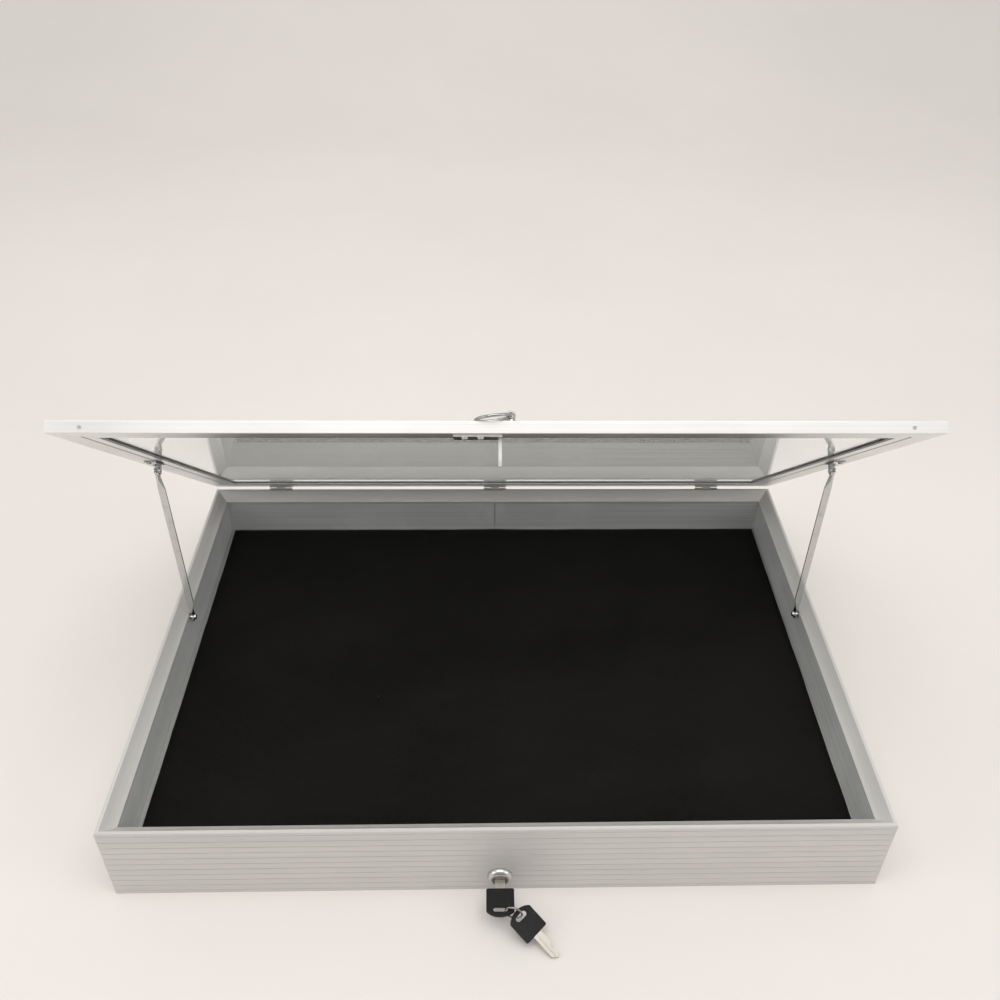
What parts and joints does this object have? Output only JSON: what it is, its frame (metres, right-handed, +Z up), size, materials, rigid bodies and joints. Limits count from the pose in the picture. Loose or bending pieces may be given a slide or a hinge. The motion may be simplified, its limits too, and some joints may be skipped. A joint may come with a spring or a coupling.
{
  "type": "tabletop display case",
  "caption": "Shallow aluminium tabletop display case with a hinged glass lid on folding stays, a velvet pad inside and a key-operated cam lock.",
  "frame": {"origin": "middle of the flat underside of the case", "axes": "+X to the right along the long front, +Y from the front (lock side) to the hinge side, +Z up; the lid is stored open on its stays"},
  "size_m": [0.7, 0.5785, 0.4331],
  "materials": {
    "satin_aluminium": "satin anodised, finely grooved on the outer face",
    "lid_aluminium": "satin anodised",
    "cast_zinc": "dull as-cast",
    "grey_lining": "matt grey laminate",
    "base_sheet": "matt sealed hardboard",
    "fibreboard": "plain sanded fibreboard",
    "softwood": "sawn softwood",
    "black_velvet": "short black pile",
    "zinc_screw": "zinc plated",
    "steel_screw": "bright plated",
    "hinge_steel": "nickel plated satin",
    "bright_chrome": "polished chrome plate",
    "lock_steel": "nickel plated",
    "key_steel": "nickel plated, satin",
    "key_plastic": "satin black moulding",
    "clear_glass": "clear float glass, polished edges",
    "black_rubber": "matt black"
  },
  "bodies": {
    "case": {"front_wall": "satin_aluminium", "rear_wall": "satin_aluminium", "left_wall": "satin_aluminium", "right_wall": "satin_aluminium", "case_corner_keys": "cast_zinc", "base_panel": "base_sheet", "base_screws": "zinc_screw", "front_liner": "grey_lining", "rear_liners": "grey_lining", "side_liners": "grey_lining", "floor_board": "fibreboard", "floor_battens": "softwood", "velvet_pad": "black_velvet", "hinge_case_leaves": "hinge_steel", "hinge_pins": "hinge_steel", "hinge_case_screws": "steel_screw", "stay_studs": "bright_chrome", "lock_housing": "bright_chrome", "lock_nut": "lock_steel"},
    "lid": {"lid_front_rail": "lid_aluminium", "lid_rear_rail": "lid_aluminium", "lid_left_rail": "lid_aluminium", "lid_right_rail": "lid_aluminium", "long_glazing_beads": "lid_aluminium", "short_glazing_beads": "lid_aluminium", "lid_corner_keys": "cast_zinc", "lid_corner_screws": "steel_screw", "lid_glass": "clear_glass", "glass_gasket": "black_rubber", "hinge_lid_leaves": "hinge_steel", "hinge_lid_screws": "steel_screw", "stay_bracket_left": "bright_chrome", "stay_bracket_right": "bright_chrome", "stay_rivets": "bright_chrome", "stay_bracket_screws": "steel_screw", "strike_bracket": "lock_steel", "strike_screws": "steel_screw", "pull_eye": "bright_chrome"},
    "stay_left": {"stay_arm_left": "bright_chrome"},
    "stay_right": {"stay_arm_right": "bright_chrome"},
    "lock_plug": {"lock_cylinder": "lock_steel", "lock_cam": "lock_steel", "cam_screw": "lock_steel"},
    "key_1": {"key_1_blade": "key_steel", "key_1_head": "key_plastic"},
    "ring": {"key_ring": "bright_chrome"},
    "key_2": {"key_2_blade": "key_steel", "key_2_head": "key_plastic"},
    "pull": {"pull_ring": "bright_chrome"}
  },
  "joints": [
    {"name": "lid_hinge", "type": "hinge", "parent": "case", "child": "lid", "pos_m": [0, 0.2526, 0.0864], "axis": [-1, 0, 0], "range_deg": [-41, 0]},
    {"name": "stay_left_pivot", "type": "hinge", "parent": "lid", "child": "stay_left", "pos_m": [-0.3324, 0.03098, 0.27349], "axis": [-1, 0, 0], "range_deg": [-48.1, 0.5]},
    {"name": "stay_right_pivot", "type": "hinge", "parent": "lid", "child": "stay_right", "pos_m": [0.3324, 0.03098, 0.27349], "axis": [-1, 0, 0], "range_deg": [-48.1, 0.5]},
    {"name": "lock_turn", "type": "hinge", "parent": "case", "child": "lock_plug", "pos_m": [0, -0.24, 0.022], "axis": [0, -1, 0], "range_deg": [0, 90]},
    {"name": "key_slide", "type": "slide", "parent": "lock_plug", "child": "key_1", "axis": [0, -1, 0], "range_m": [0, 0.03]},
    {"name": "key_ring_swivel", "type": "hinge", "parent": "key_1", "child": "ring", "pos_m": [0.0042, -0.284, 0.022], "axis": [0, 0, 1], "range_deg": [-25, 20]},
    {"name": "key_2_lift", "type": "hinge", "parent": "ring", "child": "key_2", "pos_m": [0.01829, -0.28753, 0.017], "axis": [-0.682, -0.7314, 0], "range_deg": [0, 15]},
    {"name": "pull_ring_hinge", "type": "hinge", "parent": "lid", "child": "pull", "pos_m": [0.007, -0.10677, 0.42384], "axis": [0, 0.7547, -0.6561], "range_deg": [0, 160]}
  ],
  "couplings": [
    {"joint": "stay_left_pivot", "follows": "lid_hinge", "ratio": 1.1703},
    {"joint": "stay_right_pivot", "follows": "lid_hinge", "ratio": 1.1703}
  ]
}
